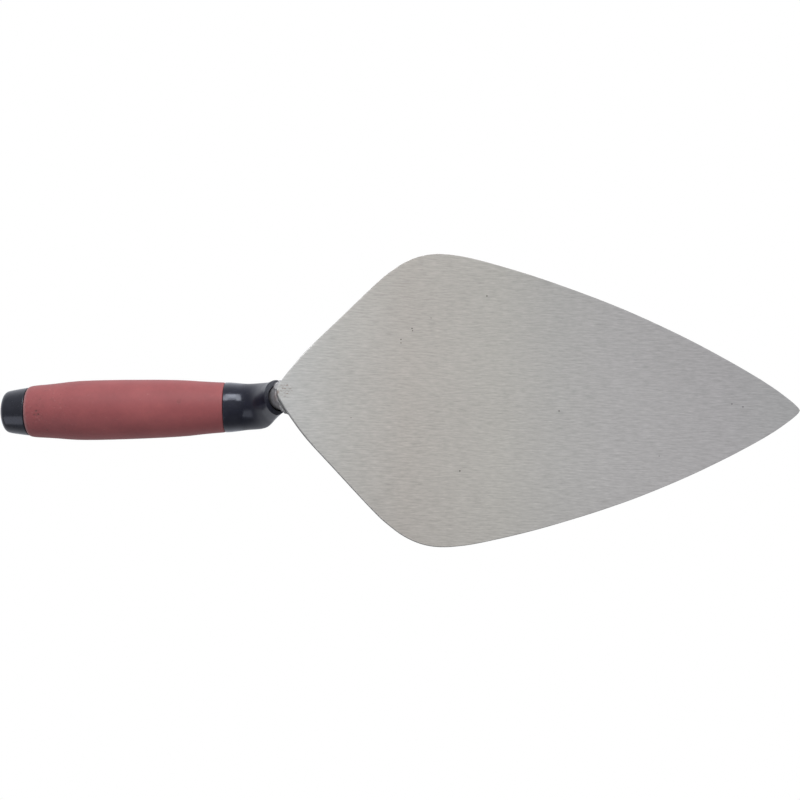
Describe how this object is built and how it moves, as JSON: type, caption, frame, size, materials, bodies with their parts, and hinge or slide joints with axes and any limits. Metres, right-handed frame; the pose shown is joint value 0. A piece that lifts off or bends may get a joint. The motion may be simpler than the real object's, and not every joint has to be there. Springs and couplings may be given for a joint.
{
  "type": "brick trowel",
  "caption": "Hand trowel for laying bricks: thin pointed steel blade, forged gooseneck shank welded at the heel, soft-grip handle with collar and butt cap",
  "frame": {"origin": "on the blade's flat working face, on its centreline, at its widest station", "axes": "+X along the blade to its tip, +Z out of the back of the blade, to the side the handle stands on, +Y across the blade"},
  "size_m": [0.4299, 0.159, 0.085],
  "materials": {
    "blade_steel": "ground and lightly brushed along the blade, bare",
    "shank_steel": "forged, lightly shot-blasted",
    "weld_steel": "hand-laid weld bead, as cooled",
    "black_nylon": "moulded, satin to glossy",
    "core_nylon": "moulded, hidden under the grip",
    "red_grip": "soft dull red elastomer, fine satin skin"
  },
  "bodies": {
    "root": {"blade": "blade_steel", "shank": "shank_steel", "heel_weld": "weld_steel", "front_collar": "black_nylon", "handle_core": "core_nylon", "grip_sleeve": "red_grip", "butt_cap": "black_nylon"}
  },
  "joints": []
}
